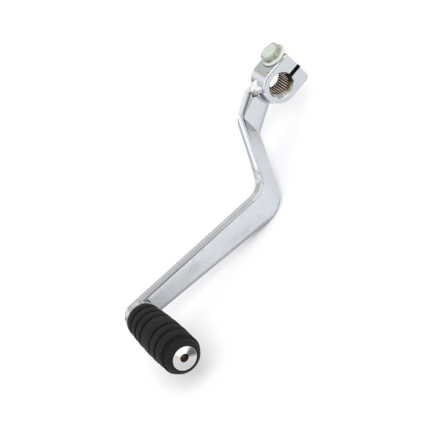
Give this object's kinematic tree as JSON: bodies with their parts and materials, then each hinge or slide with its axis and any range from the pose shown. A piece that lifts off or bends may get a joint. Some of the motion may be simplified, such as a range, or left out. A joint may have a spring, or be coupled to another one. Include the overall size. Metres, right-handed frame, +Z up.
{
  "type": "gear shift lever",
  "caption": "Joggled flat-bar gear shift lever with a split serrated clamp head, a pinch bolt and a ribbed rubber foot peg sleeve.",
  "frame": {"origin": "on the axis of the serrated bore, halfway through the clamp head", "axes": "+X runs outboard along the bore and the peg, +Z is up as fitted, and the arm runs towards -Y"},
  "size_m": [0.0947, 0.1539, 0.0383],
  "materials": {
    "chrome": "polished",
    "rubber": "matte",
    "zinc_steel": "zinc plated, satin"
  },
  "bodies": {
    "lever": {"clamp_head": "chrome", "lever_arm": "chrome", "head_weld_front": "chrome", "head_weld_back": "chrome", "head_weld_top": "chrome", "head_weld_bottom": "chrome", "gear_peg": "chrome", "peg_weld": "chrome", "grip_rubber": "rubber"},
    "bolt": {"pinch_bolt": "zinc_steel"}
  },
  "joints": [
    {"name": "bolt_withdrawal", "type": "slide", "parent": "lever", "child": "bolt", "axis": [0, 0, 1], "range_m": [0, 0.02]}
  ]
}
